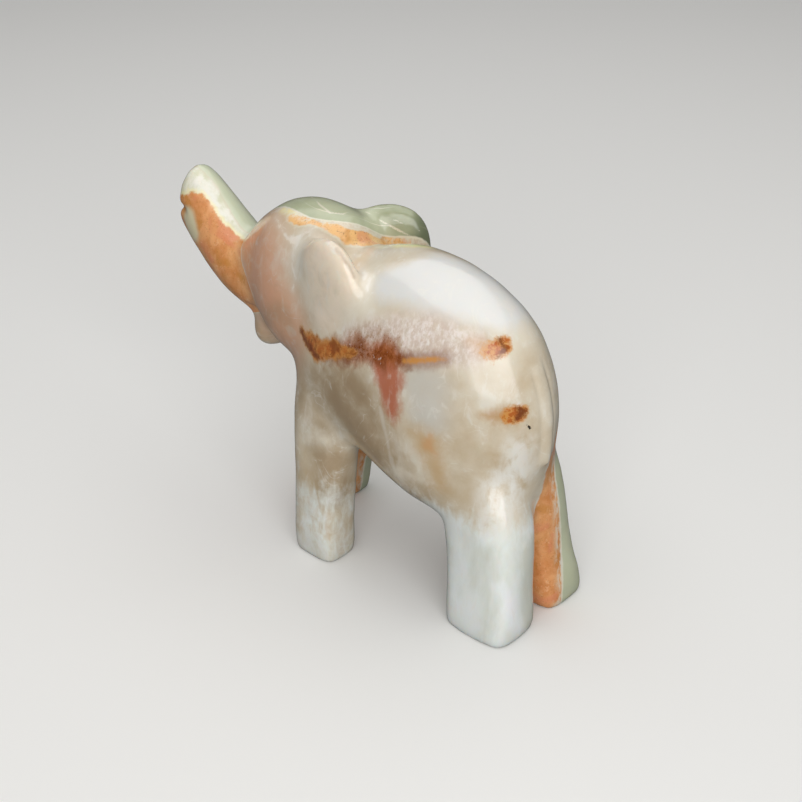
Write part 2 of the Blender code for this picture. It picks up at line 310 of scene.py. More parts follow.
def normals_of(mesh):
    flat = np.empty(len(mesh.vertices) * 3, np.float32)
    mesh.vertex_normals.foreach_get("vector", flat)
    return flat.reshape(-1, 3).astype(float)


away = np.array([trees[own].find_nearest(point)[0] for own, point in zip(owner, points)]) - points
off = np.einsum("ij,ij->i", away, normals_of(skin)) / MM
settle = []
for column in range(len(names)):
    own = owner == column
    calm = in_hollow <= max(CALM_SHARE, np.quantile(in_hollow[own], CALM_SHARE))
    settle.append(np.median(off[own & calm]))
settle[names.index("left_ear")] = settle[names.index("head")]
belongs = np.exp((reach.min(axis=1, keepdims=True) - reach) / (SETTLE_BLEND * MM))
push = belongs @ np.array(settle) / belongs.sum(axis=1)
print("settled by", [round(value, 2) for value in settle], "mm")

# %% [markdown]
# ## Small carved marks
# Some marks are too small for the solids: the slit across the end of the trunk, the corner of the mouth
# above the lip, the scratched line on each side of the tail, and the slight unevenness of a surface
# ground by hand. Each is a rule that pushes points in or out along their normal. That is sculpting by
# formula: it gives the same strokes on every run.

# %% Push the marks in
SLIT_BELOW_TIP = 11.0
SLIT_HALF_WIDTH = 1.3
SLIT_DEPTH = 1.1
SLIT_RUN_OUT = (7.0, 3.0)
MOUTH_CORNER = (((252, 309), 0.3), ((259, 314), 0.0))
MOUTH_DEPTH = 0.7
MOUTH_WIDTH = 1.6
TAIL_LINE_OFFSET = 2.3
TAIL_LINE_WIDTH = 0.6
TAIL_LINE_DEPTH = 0.25
TAIL_LINE_FOOT = (1.0, 6.0)
TAIL_LINE_HEAD = (2.0, -4.0)
TAIL_LINE_AHEAD = 2.0
LONG_WAVE = 11.0
SHORT_WAVE = 5.0
WAVE_HEIGHT = 0.16
FLAT_SOLE = (0.5, 4.0)
SOLE_SNAP = 0.12


def ease(values, start, end):
    """0 before start, 1 after end, with a soft step between; end may lie below start."""
    share = np.clip((values - start) / (end - start), 0, 1)
    return share * share * (3 - 2 * share)


def waviness(point):
    """Long low waves with shorter ones of half their height on top."""
    spot = Vector(point)
    return noise.noise(spot / (LONG_WAVE * MM)) + 0.5 * noise.noise(spot / (SHORT_WAVE * MM))


x, y, z = (points / MM).T
tip_low, tip_high = (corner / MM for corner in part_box("trunk"))
across_slit = (z - (tip_high.z - SLIT_BELOW_TIP)) / SLIT_HALF_WIDTH
slit_start, slit_end = (tip_low.y + run_out for run_out in SLIT_RUN_OUT)
push -= SLIT_DEPTH * (np.exp(-(across_slit ** 2)) * ease(y, slit_start, slit_end))

for mirror in (False, True):
    push -= MOUTH_DEPTH * nearness(depth_in_stroke(MOUTH_CORNER, mirror), MOUTH_WIDTH)

tail_low, tail_high = (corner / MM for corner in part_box("tail"))
tail_middle = (tail_low.x + tail_high.x) / 2
beside_tail = np.exp(-(((np.abs(x - tail_middle) - TAIL_LINE_OFFSET) / TAIL_LINE_WIDTH) ** 2))
line_foot = ease(z, *(tail_low.z + rise for rise in TAIL_LINE_FOOT))
line_head = ease(z, *(tail_high.z + rise for rise in TAIL_LINE_HEAD))
push -= TAIL_LINE_DEPTH * beside_tail * (line_foot * line_head) * (y > tail_low.y - TAIL_LINE_AHEAD)

uneven = np.array([waviness(point) for point in points])
push += WAVE_HEIGHT * uneven * ease(z, *FLAT_SOLE)

points += normals_of(skin) * push[:, None] * MM
points[:, 2] = np.where(points[:, 2] < SOLE_SNAP * MM, 0.0, points[:, 2])
set_points(skin, points)
normals = normals_of(skin)
skin_tree = BVHTree.FromPolygons(points.tolist(), [list(face.vertices) for face in skin.polygons])
print("marks from", round(push.min(), 2), "to", round(push.max(), 2), "mm")

# %% [markdown]
# ## The layers of the block
# The block was green on the elephant's right and white on its left, with a seam of orange between. The
# seam is a slightly folded sheet, so it can be written as one height over a plane: at each (y, z) it has
# an x. Pixels along the edge of the green give that sheet where it shows. A few guessed places, written
# as y, z and x in millimetres, carry it through the hidden side, and a smooth interpolation joins them
# all. How far a point lies from the sheet is the first thing that its colour depends on.

# %% Fit the sheet between green and orange
GREEN_EDGE = ((207, 175), (220, 188), (232, 211), (247, 234), (289, 207), (298, 212), (313, 220), (330, 221),
              (345, 224), (364, 228), (383, 232), (402, 236), (418, 240), (560, 520), (562, 560), (562, 590))
GUESSED_EDGE = ((20, 86, -20), (40, 82, -20), (52, 72, -14), (57, 62, -16), (58, 52, -12), (58, 45, -9),
                (20, 26, -9), (30, 45, -14), (-10, 45, -11), (-16, 20, -10), (-16, 2, -10), (-32, 46, -13),
                (-36, 62, -9), (-60, 60, -4))
STIFFNESS = 14.0
SLACK = 0.3

seen_edge = [on_stone(pixel)[[1, 2, 0]] for pixel in GREEN_EDGE]
edge = np.array(seen_edge + [np.array(spot) for spot in GUESSED_EDGE])


def stiff_gap(first, second):
    """The distance of every pair of places, rounded off near 0 so that the sheet bends softly."""
    gap = np.linalg.norm(first[:, None, :] - second[None, :, :], axis=2)
    return np.sqrt(gap ** 2 + STIFFNESS ** 2)


middle_x = edge[:, 2].mean()
bending = stiff_gap(edge[:, :2], edge[:, :2]) - SLACK * np.eye(len(edge))
pull = np.linalg.solve(bending, edge[:, 2] - middle_x)
sheet_x = stiff_gap(points[:, 1:] / MM, edge[:, :2]) @ pull + middle_x
green_edge = points[:, 0] / MM - sheet_x
print("share of the skin on the green side:", round(float((green_edge < 0).mean()), 2))

# %% [markdown]
# ## Bands and stains
# Around the sheet lie the strong colours. Orange fills a layer beside the green, swells to a lens on top
# of the head and takes the whole near side of the trunk. On the white flank iron has crept along cracks:
# a dark wedge at the shoulder, a brown vein, a red drip below it, two spots and a pale patch. Each is
# kept on the skin as one number, the distance in millimetres to its edge, because a distance is smooth
# and stays sharp when a material cuts it later at any level.

# %% Measure the bands and stains on the skin
LAYER_THICKNESS = 5.4
LAYER_FROM_Y = (8, 16)
LAYER_BELOW_Z = (66, 58)
LAYER_RUN_OUT = 3.0
LEG_SWELLING = 4.0
SWELLING_BELOW_Z = (36, 26)
TRUNK_WHITE_BAND = 4.1
TIP_WHITE_BAND = 3.5
TIP_FROM_Y = (-51, -57)
TIP_ABOVE_Z = (76, 82)
TRUNK_PAST_HEAD = (-2.8, -1.0)
TRUNK_PAST_LIP = (-0.5, 1.5)
TRUNK_EDGE_SLOPE = 6.0
HEAD_LENS = (((291, 217), 0.7), ((300, 221), 1.2), ((318, 224), 0.5), ((335, 229), 1.3), ((347, 235), 2.0),
             ((364, 239), 2.2), ((374, 241), 2.2), ((381, 243), 2.0))
NECK_LENS = (((378, 242), 2.2), ((388, 244), 2.0), ((397, 243), 1.2), ((408, 243), 0.5))
SHOULDER_WEDGE = (((303, 333), 1.0), ((309, 341), 2.4), ((317, 349), 3.2), ((328, 349), 2.4),
                  ((341, 350), 1.6), ((355, 353), 0.5))
BROWN_VEIN = (((318, 350), 1.8), ((338, 350), 2.6), ((360, 352), 3.0), ((384, 356), 2.4), ((406, 360), 0.8))
GOLD_LINE = (((404, 361), 0.5), ((425, 360), 0.8), ((446, 359), 0.3))
RED_DRIP = (((384, 358), 4.4), ((388, 380), 4.2), ((391, 402), 2.8), ((393, 421), 0.7))
HIGH_SPOT = (((488, 351), 1.2), ((496, 349), 2.5), ((502, 347), 2.3))
LOW_SPOT = (((509, 417), 1.7), ((517, 414), 2.1), ((521, 410), 1.0))
LOW_TAIL = (((482, 415), 0.6), ((496, 417), 1.6), ((508, 417), 2.0))
HIGH_TAIL = (((470, 340), 1.0), ((486, 348), 2.0))
WEDGE_EDGE = (((301, 331), 0.4), ((308, 345), 0.9), ((319, 358), 0.5))
HIGH_RIM = (((499, 339), 0.3), ((505, 349), 0.6), ((498, 357), 0.3))
LOW_RIM = (((518, 408), 0.4), ((523, 413), 0.7), ((515, 420), 0.3))
VEIN_CLOUD = (((348, 340), 2.0), ((372, 337), 3.0), ((396, 344), 2.0))
BLACK_FLECK = (((527, 425), 0.1), ((530, 428), 0.35))
PALE_PATCH = (((420, 436), 3.0), ((428, 447), 4.4), ((434, 465), 3.6), ((440, 484), 2.0))
PATCH_HEART = (((430, 436), 0.6), ((428, 446), 1.6), ((433, 452), 0.8))
TRUNK_CHIN = (((188, 216), 2.6), ((192, 231), 3.2))


def nearest_of(*strokes):
    """How far each point of the skin lies outside the nearest of some strokes."""
    return np.minimum.reduce([depth_in_stroke(stroke) for stroke in strokes])


x, y, z = (points / MM).T
on_trunk = ease((reach_to("head") - reach_to("trunk")) / MM, *TRUNK_PAST_HEAD)
on_trunk *= ease((reach_to("lower_lip") - reach_to("trunk")) / MM, *TRUNK_PAST_LIP)
layer_runs = np.maximum(ease(y, *LAYER_FROM_Y), ease(z, *LAYER_BELOW_Z))
thickness = LAYER_THICKNESS * layer_runs + LEG_SWELLING * ease(z, *SWELLING_BELOW_Z)
run_out = LAYER_RUN_OUT * ease(thickness, LAYER_RUN_OUT, 0)
in_layer = np.abs(green_edge - thickness / 2) - thickness / 2 + run_out
white_band = TRUNK_WHITE_BAND + TIP_WHITE_BAND * ease(y, *TIP_FROM_Y) * ease(z, *TIP_ABOVE_Z)
in_trunk = np.maximum(white_band - green_edge, TRUNK_EDGE_SLOPE * (0.5 - on_trunk))
in_lens = nearest_of(HEAD_LENS, NECK_LENS)
marks = {
    "green_edge": green_edge,
    "orange": np.minimum.reduce([in_layer, in_trunk, in_lens]),
    "wedge": nearest_of(SHOULDER_WEDGE),
    "vein": nearest_of(BROWN_VEIN),
    "gold_line": nearest_of(GOLD_LINE),
    "spots": nearest_of(HIGH_SPOT, LOW_SPOT),
    "red_drip": nearest_of(RED_DRIP),
    "spot_tails": nearest_of(LOW_TAIL, HIGH_TAIL),
    "dark_edges": nearest_of(WEDGE_EDGE, HIGH_RIM, LOW_RIM),
    "vein_cloud": nearest_of(VEIN_CLOUD),
    "fleck": nearest_of(BLACK_FLECK),
    "pale_patch": nearest_of(PALE_PATCH),
    "patch_heart": nearest_of(PATCH_HEART),
    "trunk_chin": nearest_of(TRUNK_CHIN),
}
for name, values in marks.items():
    print(name, "covers", round(float((values < 0).mean()) * 100, 1), "% of the skin")

# %% [markdown]
# ## Tones of the near side
# The white half isn't one white. The head is faintly rose, the legs have a cool green cast, the upper
# back is milky, with a painted highlight laid over its top, and the shoulder is clear enough to look
# darker, like thin porridge beside milk, with painted shade added over the shoulder, the belly and the
# chin. Painted shade also darkens the far ear, most at its rim, and a painted highlight runs down the
# corner of the near hind foot. These change slowly over centimetres, so each is a soft share between 0
# and 1, made from the height, the member and a few pixels. The fine white veins, the white zone along
# the back (whiter stone with a painted highlight), the painted shade line of the groove behind the ear
# and the thin cream lines are kept as distances, like the stains.

# %% Share out the slow tones
HIND_HALF_Y = 20
COOL_HIND_Z = (39, 25)
COOL_FRONT_Z = (34, 16)
COOL_FRONT_MOST = 0.5
# The upper back is milky stone, made whiter still as a painted highlight of the overhead shine.
MILK_AND_HIGHLIGHT_ABOVE_Z = (66, 78)
MILK_AND_HIGHLIGHT_FROM_Y = (2, 14)
ROSE_FADE = (18, 3)
GOLDEN_FADE = (3, 0)
SEAM_FADE = (1.0, 4.5)
ROSE_FACE = (((255, 264), 2), ((258, 290), 3), ((270, 318), 4))
# A whiter zone along the back: partly whiter stone, partly a painted highlight of the overhead shine.
WHITE_BACK_AND_HIGHLIGHT = (((388, 284), 4), ((440, 278), 9), ((490, 292), 10), ((532, 312), 6))
THIGH_WHITE = (((518, 450), 2), ((517, 474), 3), ((502, 494), 4), ((497, 515), 3))
GREY_CALF = (((531, 500), 2.5), ((530, 560), 3.5), ((531, 620), 3))
CRYSTALS = (((352, 341), 4), ((385, 335), 5), ((430, 338), 6.5), ((470, 348), 5))
# Painted shade under the jaw around the lip, partly the stone's darker tone.
CLEAR_CHIN_AND_SHADE = (((262, 330), 3), ((282, 318), 3))
GREY_CROWN = (((310, 231), 1.5), ((336, 237), 1.5))
CLEAR_LEG = (((322, 436), 3), ((337, 492), 3))
MILKY_EAR = (((314, 252), 5), ((326, 276), 7), ((322, 302), 6))
YELLOW_NECK = (((402, 245), 1.8), ((416, 245), 2.4), ((425, 246), 2.0))
# Painted shade over the shoulder and down the belly, over stone that is clearer there.
CLEAR_SHOULDER_AND_BELLY_SHADE = (((300, 392), 4), ((330, 392), 9), ((352, 404), 10), ((378, 450), 8), ((424, 500), 4))
BLUE_WHITE = (((425, 385), 5), ((428, 415), 4))
PALE_LINE = (((380, 408), 0.3), ((387, 438), 0.5), ((392, 464), 0.4), ((401, 482), 0.2))
HEAD_LINE = (((311, 197), 0.05), ((320, 205), 0.12), ((330, 213), 0.15), ((343, 214), 0.1), ((352, 212), 0.0))
EAR_LINE = (((366, 212), 0.05), ((383, 222), 0.12), ((402, 232), 0.15), ((417, 239), 0.1))
# Painted shade on the far ear: strong at its rim, weaker over the ear.
SHADED_EAR_RIM = (((426, 220), 2), ((428, 233), 3.5), ((421, 240), 2))
SHADED_FAR_EAR = (((386, 212), 3), ((404, 215), 4), ((418, 222), 3))
EAR_SECOND_LINE = (((374, 212), 0.0), ((397, 221), 0.05), ((420, 231), 0.0))
YELLOW_FRONT = (((284, 209), 0.8), ((295, 212), 1.0))
FACE_VEIN = (((276, 217), 0.1), ((282, 229), 0.3), ((288, 239), 0.35), ((296, 241), 0.5))
CROWN_VEIN = (((296, 241), 0.5), ((302, 234), 0.4), ((309, 230), 0.3), ((318, 226), 0.1))
EAR_FRONT = (((298, 243), 0.4), ((293, 252), 0.3), ((292, 264), 0.25), ((295, 278), 0.2), ((293, 290), 0.05))
EAR_STREAK = (((328, 244), 0.2), ((334, 252), 0.45), ((340, 259), 0.15))
NECK_CURL = (((359, 263), 0.15), ((361, 271), 0.25), ((366, 274), 0.3), ((364, 278), 0.1))
NECK_FORK = (((379, 271), 0.3), ((371, 279), 0.4), ((368, 291), 0.1))
# Painted shade: a darker line where a groove runs behind the ear.
EAR_GROOVE_SHADE = (((336, 249), 0.1), ((342, 256), 0.25), ((348, 265), 0.2), ((354, 277), 0.05))
# Painted highlight down the corner ridge of the near hind foot.
FOOT_HIGHLIGHT = (((499, 587), 0.5), ((508, 605), 1.0), ((514, 622), 1.3), ((514, 642), 1.0))


def share_of(stroke, outer, inner, most=1.0):
    """A soft share: nothing beyond the outer distance from a stroke, the most within the inner one."""
    return most * ease(depth_in_stroke(stroke), outer, inner)


to_rose = np.minimum(depth_in_stroke(ROSE_FACE), depth_in_stroke(ROSE_FACE, mirror=True))
cool_hind = ease(z, *COOL_HIND_Z) * (y > HIND_HALF_Y)
cool_front = COOL_FRONT_MOST * ease(z, *COOL_FRONT_Z) * (y < HIND_HALF_Y)
apart = np.sort(reach, axis=1)
marks.update({
    "rose": ease(to_rose, *ROSE_FADE),
    "cool": np.maximum(cool_hind, cool_front),
    # Milky upper back: partly the stone's tone, partly a painted highlight.
    "milk_and_painted_highlight": ease(z, *MILK_AND_HIGHLIGHT_ABOVE_Z) * ease(y, *MILK_AND_HIGHLIGHT_FROM_Y),
    "ear": share_of(MILKY_EAR, 5, -3),
    "white_back_and_painted_highlight": nearest_of(WHITE_BACK_AND_HIGHLIGHT),
    "thigh_white": share_of(THIGH_WHITE, 5, -2),
    "calf": share_of(GREY_CALF, 4, -2),
    "crystals": share_of(CRYSTALS, 2, -4),
    # The clear share is partly painted shade: on the shoulder, the belly and the chin.
    "clear": np.maximum.reduce([share_of(CLEAR_SHOULDER_AND_BELLY_SHADE, 6, -5),
                                share_of(CLEAR_CHIN_AND_SHADE, 4, -1, most=0.45),
                                share_of(GREY_CROWN, 4, -1, most=0.35),
                                share_of(CLEAR_LEG, 5, -1, most=0.9)]),
    "yellow": np.maximum(share_of(YELLOW_NECK, 1.5, -1), share_of(YELLOW_FRONT, 1.5, -0.8, most=0.8)),
    "white_veins": nearest_of(FACE_VEIN, CROWN_VEIN, EAR_FRONT, EAR_STREAK, NECK_CURL, NECK_FORK),
    "painted_groove_shade": nearest_of(EAR_GROOVE_SHADE),
    "painted_highlight_foot": share_of(FOOT_HIGHLIGHT, 2.5, -1),
    "blue_white": share_of(BLUE_WHITE, 5, -3),
    "trunk_white": on_trunk,
    "cream_line": nearest_of(HEAD_LINE, EAR_LINE, EAR_SECOND_LINE),
    "pale_line": nearest_of(PALE_LINE),
    # Painted shade on the far ear and its rim.
    "painted_shade_far_ear": np.maximum(share_of(SHADED_EAR_RIM, 4, -2), share_of(SHADED_FAR_EAR, 3, -2, most=0.35)),
    "golden": ease(in_lens, *GOLDEN_FADE),
    "inside": ease((apart[:, 1] - apart[:, 0]) / MM, *SEAM_FADE),
})
print("numbers kept on each point:", len(marks))

# %% [markdown]
# ## Eleven members from one skin
# The skin is one block, but a library part is picked apart and recoloured member by member, so the skin
# is cut where the solids are. Every face goes to the member that it lies nearest to. Here and there that
# leaves a few faces alone among another member's faces: such stray islands join what surrounds them.

# %% Give every face to a member
faces = np.empty(len(skin.loops), np.int32)
skin.loops.foreach_get("vertex_index", faces)
faces = faces.reshape(-1, 4)
face_owner = reach[faces].mean(axis=1).argmin(axis=1)
edge_faces = {}
for index, face in enumerate(faces):
    for first, second in zip(face, np.roll(face, -1)):
        edge_faces.setdefault((min(first, second), max(first, second)), []).append(index)
beside = [[] for _ in faces]
for pair in edge_faces.values():
    if len(pair) == 2:
        beside[pair[0]].append(pair[1])
        beside[pair[1]].append(pair[0])


def islands(owners):
    """Lists of faces that hang together and belong to one member."""
    seen = np.zeros(len(owners), bool)
    found = []
    for start in range(len(owners)):
        if seen[start]:
            continue
        seen[start] = True
        group = [start]
        for index in group:
            for other in beside[index]:
                if not seen[other] and owners[other] == owners[start]:
                    seen[other] = True
                    group.append(other)
        found.append(group)
    return found


groups = sorted(islands(face_owner), key=len, reverse=True)
placed = set()
for group in groups:
    member = face_owner[group[0]]
    if member in placed:
        around = [face_owner[other] for index in group for other in beside[index]]
        face_owner[group] = np.bincount([other for other in around if other != member]).argmax()
    placed.add(member)
print("islands:", len(groups), "now", len(islands(face_owner)))

# %% [markdown]
# ## Cutting without a trace
# Each member's faces become a mesh of their own, and each cut is closed by a fan of triangles inside the
# stone, so that every piece is one closed body. The cut must not show: two members that meet share the
# positions along the cut, and both keep the shading normals of the uncut skin. A Boolean cut would give
# fresh points and new normals, and a line would show in every highlight that crosses it.

# %% Cut the skin into its members
FAN_NORMAL = (0, 0, 1)


def cut_member(member):
    """A closed mesh of one member's faces, with the skin's normals and marks."""
    own = faces[face_owner == names.index(member)]
    used, corners = np.unique(own, return_inverse=True)
    own = corners.reshape(-1, 4)
    shape = bmesh.new()
    for point in points[used]:
        shape.verts.new(point)
    shape.verts.ensure_lookup_table()
    for face in own:
        shape.faces.new([shape.verts[index] for index in face])
    rims = [rim for rim in shape.edges if rim.is_boundary]
    while rims:
        loop = [rims[0]]
        for rim in loop:
            for corner in rim.verts:
                loop.extend(near for near in corner.link_edges if near.is_boundary and near not in loop)
        middle = sum((corner.co for rim in loop for corner in rim.verts), Vector()) / (2 * len(loop))
        hub = shape.verts.new(middle)
        for rim in loop:
            shape.faces.new((rim.link_loops[0].link_loop_next.vert, rim.link_loops[0].vert, hub))
        rims = [rim for rim in rims if rim not in set(loop)]
    mesh = bpy.data.meshes.new(member)
    shape.to_mesh(mesh)
    hubs = len(mesh.vertices) - len(used)
    closed = all(rim.is_manifold for rim in shape.edges)
    print(member, len(mesh.polygons), "faces,", hubs, "cuts, closed:", closed)
    shape.free()
    for name, values in marks.items():
        layer = mesh.attributes.new(name, "FLOAT", "POINT")
        layer.data.foreach_set("value", np.concatenate([values[used], np.zeros(hubs)]).astype(np.float32))
    mesh.polygons.foreach_set("use_smooth", [True] * len(mesh.polygons))
    fan_normals = np.tile(FAN_NORMAL, (hubs, 1))
    mesh.normals_split_custom_set_from_vertices(np.vstack([normals[used], fan_normals]).tolist())
    return mesh


pieces = {}
for member in names:
    pieces[member] = bpy.data.objects.new("polished_" + member, cut_member(member))
    bpy.context.scene.collection.objects.link(pieces[member])
    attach(pieces[member], "root")
    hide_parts(member)

# %% [markdown]
# ## Tools for a stone
# One material serves all members, because the block has one stone: its colours depend on the place in the
# block, not on the member. A shader this deep is easier to read as a recipe than as a drawing, so a few
# helpers come first. One adds a node, one reads a number kept on the points, one blends two colours, and
# one turns a distance into a share with a soft, ragged edge. In a step the two numbers say where the
# share begins and where it is full, in millimetres for a kept distance, and the last number in scaled is
# the strength. Seven noises, from clouds of 14 mm down to dust of half a millimetre, serve most of the
# stone.

# %% Node helpers
SCREEN_WHITE = 255
SCREEN_TOE = 0.055
SCREEN_POWER = 2.4
UPRIGHT = (1.0, 1.0, 0.4)

stone = bpy.data.materials.new("banded_onyx")
stone.use_nodes = True
recipe = stone.node_tree
recipe.nodes.clear()


def add(kind, inputs=None, **settings):
    """A node of the stone, with its sockets filled by values or by other sockets."""
    made = recipe.nodes.new("ShaderNode" + kind)
    for key, value in settings.items():
        setattr(made, key, value)
    for socket, value in (inputs or {}).items():
        if isinstance(value, bpy.types.NodeSocket):
            recipe.links.new(value, made.inputs[socket])
        else:
            made.inputs[socket].default_value = value
    return made


def rgb(red, green, blue):
    """A colour as it looks on a screen, 0 to 255, in the linear light that shaders work in."""
    shares = (value / SCREEN_WHITE for value in (red, green, blue))
    return (*(((share + SCREEN_TOE) / (1 + SCREEN_TOE)) ** SCREEN_POWER for share in shares), 1.0)


def math_of(operation, first, second=0.0, third=0.0):
    """The result of a Math node."""
    return add("Math", {0: first, 1: second, 2: third}, operation=operation).outputs[0]


def kept(name):
    """A number that was kept on the points of the skin."""
    return add("Attribute", attribute_name=name).outputs["Fac"]


def blend(share, below, above):
    """One colour laid over another by a share."""
    mix = add("Mix", {0: share, 6: below, 7: above}, data_type="RGBA")
    return mix.outputs[2]


def step(value, start, end):
    """A soft step from 0 at start to 1 at end."""
    ends = {"Value": value, "From Min": start, "From Max": end}
    return add("MapRange", ends, interpolation_type="SMOOTHSTEP").outputs[0]


def scaled(value, factor):
    return math_of("MULTIPLY", value, factor)


def without(share, amount):
    """1 where a share is 0, less where it is not."""
    return math_of("MULTIPLY_ADD", share, -amount, 1.0)


def drawn_out(factors):
    """The place with its axes multiplied, so that noise read there is drawn out along the smaller ones."""
    return add("VectorMath", {0: place, 1: factors}, operation="MULTIPLY").outputs[0]


metres = add("TexCoord").outputs["Object"]
place = add("VectorMath", {0: metres, "Scale": 1 / MM}, operation="SCALE").outputs[0]


def grain(size, detail=3.0, rough=0.55, where=place, stretch=0.0):
    """Noise around 0 with lumps of a size in mm."""
    made = add("TexNoise", {"Vector": where, "Scale": 1 / size, "Detail": detail, "Roughness": rough,
                            "Distortion": stretch})
    return math_of("SUBTRACT", made.outputs["Fac"], 0.5)


def ragged(name, *wanders):
    """A kept distance whose edge wanders by amounts of noise."""
    value = kept(name)
    for noise_value, amount in wanders:
        value = math_of("MULTIPLY_ADD", noise_value, amount, value)
    return value


cloud = grain(14, 2.0)
curd = grain(5.5, 4.0, 0.6, stretch=0.4)
upright = drawn_out(UPRIGHT)
flake = grain(2.4, 5.0, 0.65, where=upright, stretch=0.6)
speck = grain(1.1, 4.0, 0.7)
dust = grain(0.45, 3.0, 0.7)
blotch = grain(3.6, 3.0, 0.6, stretch=0.8)
pale_grain = grain(2.0, 4.0, 0.65)
print("nodes for the noises:", len(recipe.nodes))

# %% [markdown]
# ## The white half
# Onyx marble is calcite that grew in water, so its white is cloudy: milky curds float in clearer beige.
# The base is a blend of beige and milky white by noise of three sizes. The slow tones kept on the points
# then pull it towards rose on the face, a streaky cool white on the legs, or milky white on the ear and
# the thigh. On the upper back the milky white is partly a painted highlight, and a crisp whiter zone
# along the back is whiter stone with a painted highlight. Painted shade darkens the clear shoulder, the
# belly and the chin, and a painted highlight runs down the corner of the near hind foot.

# %% Mix the white
CLEAR_BEIGE = rgb(206, 187, 156)
MILK = rgb(230, 222, 204)
# White of the zone along the back, partly a painted highlight.
BACK_WHITE_AND_HIGHLIGHT = rgb(230, 229, 225)
EAR_TONE = rgb(250, 233, 212)
ROSE = rgb(228, 178, 146)
COOL_WHITE = rgb(243, 248, 245)
GREY_GREEN = rgb(221, 223, 212)
# A darker beige: painted shade on the shoulder, belly and chin, and mottling in the rose.
SHADOW_BEIGE = rgb(167, 145, 115)
BLUE_WHITE_TONE = rgb(212, 210, 203)
YELLOW_WHITE = rgb(252, 242, 186)
# White of the painted highlight on the near hind foot.
HIGHLIGHT_WHITE = rgb(250, 255, 255)
LONG_STREAK = (1.0, 1.0, 0.35)

clouds = math_of("MULTIPLY_ADD", curd, 0.5, math_of("MULTIPLY_ADD", cloud, 1.2, scaled(speck, 0.12)))
colour = blend(step(clouds, -0.32, 0.36), CLEAR_BEIGE, MILK)
colour = blend(scaled(kept("rose"), step(curd, 0.65, 0.0)), colour, ROSE)
colour = blend(scaled(scaled(kept("rose"), step(blotch, 0.02, 0.24)), 0.4), colour, MILK)
colour = blend(scaled(scaled(kept("rose"), step(blotch, -0.02, -0.26)), 0.15), colour, SHADOW_BEIGE)
# Painted shade: the clear share darkens the shoulder, the belly and the chin; on the crown and the front leg
# it is the stone's tone.
colour = blend(scaled(kept("clear"), step(clouds, 0.5, -0.3)), colour, SHADOW_BEIGE)
colour = blend(scaled(kept("blue_white"), 0.7), colour, BLUE_WHITE_TONE)

long_streak = drawn_out(LONG_STREAK)
shin = math_of("MULTIPLY_ADD", flake, 0.35, grain(6.5, 3.0, 0.5, where=long_streak, stretch=0.5))
leg_white = blend(step(shin, -0.40, 0.22), GREY_GREEN, COOL_WHITE)
leg_white = blend(scaled(kept("calf"), step(shin, 0.25, -0.05)), leg_white, GREY_GREEN)
leg_edge = math_of("MULTIPLY_ADD", flake, 0.9, math_of("MULTIPLY_ADD", curd, 0.8, kept("cool")))
# Painted highlight: a bright streak down the corner of the near hind foot.
leg_white = blend(scaled(kept("painted_highlight_foot"), step(shin, -0.5, 0.1)), leg_white, HIGHLIGHT_WHITE)
colour = blend(step(leg_edge, 0.15, 0.85), colour, leg_white)
# Painted highlight: milky white over the upper back, partly the stone's own milky tone.
colour = blend(scaled(kept("milk_and_painted_highlight"), step(clouds, -0.7, 0.3)), colour, MILK)
colour = blend(scaled(kept("ear"), step(curd, -0.5, 0.1)), colour, EAR_TONE)
# Painted highlight: a crisp white zone along the back, over stone that is whiter there too.
back_highlight_edge = ragged("white_back_and_painted_highlight", (curd, 5.0), (flake, 2.0))
colour = blend(step(back_highlight_edge, 2.5, -2.5), colour, BACK_WHITE_AND_HIGHLIGHT)
colour = blend(kept("yellow"), colour, YELLOW_WHITE)
print("nodes with the white:", len(recipe.nodes))

# %% [markdown]
# ## Curds, veins and crystals
# Closer up the white is busy. Curds float in it, cracks healed as fine white veins, a darker line of
# painted shade stands for the groove behind the ear, and above the brown vein lies a cushion of small
# crystals. The veins that the photograph shows are kept distances frayed by noise. The rest is noise
# alone: a thin crack is the place where a noise passes through 0.

# %% Add what is fine and white
CRYSTAL = rgb(242, 234, 228)
CRYSTAL_SHADE = rgb(216, 198, 184)
CURD_WHITE = rgb(238, 235, 226)
VEIN_WHITE = rgb(246, 240, 230)
# The beige of the painted shade in the groove behind the ear.
GROOVE_SHADE_BEIGE = rgb(150, 132, 112)

bare = scaled(without(kept("rose"), 0.8), without(kept("clear"), 0.75))
curds = scaled(step(math_of("MULTIPLY_ADD", cloud, 0.6, flake), 0.04, 0.22), bare)
colour = blend(scaled(curds, 0.4), colour, CURD_WHITE)
mottle = step(math_of("MULTIPLY_ADD", flake, 0.6, curd), -0.24, 0.10)
colour = blend(scaled(scaled(kept("thigh_white"), mottle), 0.95), colour, CURD_WHITE)
crack = math_of("ABSOLUTE", grain(13, 3.0, 0.5, stretch=1.2))
healed = scaled(step(crack, 0.012, 0.0), step(curd, -0.05, 0.15))
colour = blend(scaled(healed, 0.4), colour, CURD_WHITE)
# Painted shade of the groove behind the ear, drawn as a darker line.
groove_shade = step(ragged("painted_groove_shade", (curd, 1.0), (speck, 0.6)), 0.9, -0.3)
colour = blend(scaled(groove_shade, 0.5), colour, GROOVE_SHADE_BEIGE)
white_veins = ragged("white_veins", (curd, 3.6), (blotch, 2.0), (speck, 1.4))
colour = blend(scaled(step(white_veins, 1.8, -0.2), 0.2), colour, CURD_WHITE)
colour = blend(scaled(step(white_veins, 0.5, -0.35), 0.6), colour, VEIN_WHITE)
thread = step(ragged("pale_line", (curd, 2.0), (speck, 1.0)), 0.5, -0.3)
colour = blend(scaled(thread, 0.3), colour, CURD_WHITE)

